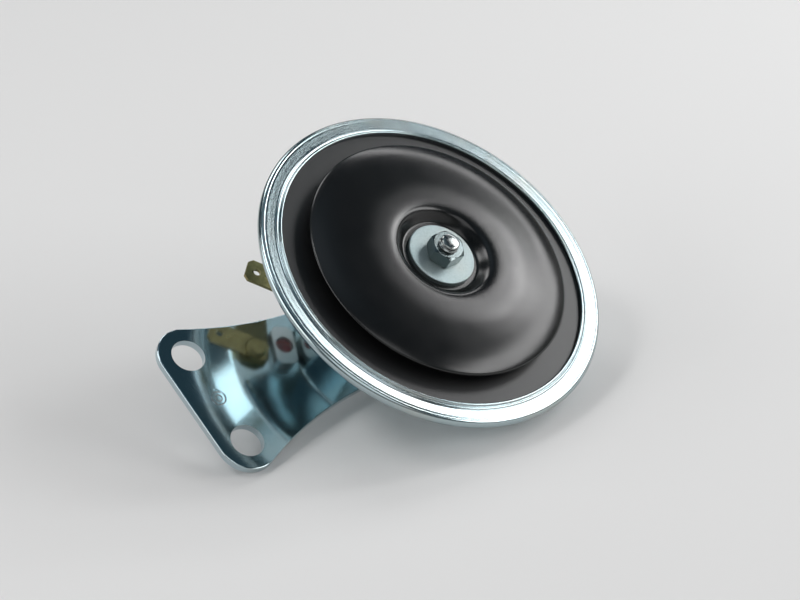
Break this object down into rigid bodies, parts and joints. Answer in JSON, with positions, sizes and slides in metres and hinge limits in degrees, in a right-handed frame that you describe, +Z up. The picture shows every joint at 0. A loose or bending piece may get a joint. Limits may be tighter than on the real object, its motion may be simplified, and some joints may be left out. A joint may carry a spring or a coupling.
{
  "type": "disc horn",
  "caption": "Disc horn for a vehicle: pressed pan with coil cup, clamped diaphragm, black tone disc, spade terminal and a flat two-hole bracket.",
  "frame": {"origin": "middle of the horn's box on the surface it lies on", "axes": "+Z up, +X level from the bracket's end towards the horn, +Y away from the side that the tone disc faces"},
  "size_m": [0.1129, 0.076, 0.0582],
  "materials": {
    "zinc_steel": "bright zinc plate, satin",
    "black_coat": "satin black coating",
    "grey_spring_steel": "matt grey phosphate",
    "gasket_paper": "oiled paper",
    "soft_iron": "turned, bare",
    "bobbin_plastic": "moulded, natural",
    "copper_wire": "enamelled copper",
    "brown_laminate": "pressed laminate",
    "olive_laminate": "pressed laminate",
    "spring_brass": "rolled strip",
    "terminal_brass": "dulled rolled strip",
    "contact_metal": "ground",
    "boss_metal": "die cast, satin",
    "red_lacquer": "gloss lacquer",
    "resistor_ceramic": "matt"
  },
  "bodies": {
    "root": {"adjuster_boss": "boss_metal", "adjusting_screw": "zinc_steel", "armature": "soft_iron", "armature_stud": "zinc_steel", "bracket": "zinc_steel", "bracket_nut": "zinc_steel", "breaker_insulator": "brown_laminate", "breaker_rivet": "zinc_steel", "breaker_spring": "spring_brass", "clamp_ring": "zinc_steel", "coil_bobbin": "bobbin_plastic", "coil_winding": "copper_wire", "core_stud": "zinc_steel", "diaphragm": "grey_spring_steel", "fixed_contact": "contact_metal", "fixed_contact_strip": "spring_brass", "front_gasket": "gasket_paper", "housing": "zinc_steel", "hub_spacer": "zinc_steel", "lock_washer": "zinc_steel", "moving_contact": "contact_metal", "pole_plate": "soft_iron", "rear_gasket": "gasket_paper", "screw_seal": "red_lacquer", "spark_resistor": "resistor_ceramic", "terminal_blade": "terminal_brass", "terminal_plate": "olive_laminate", "terminal_rivet": "zinc_steel", "tone_disc": "black_coat", "tone_nut": "zinc_steel", "tone_washer": "zinc_steel"}
  },
  "joints": []
}
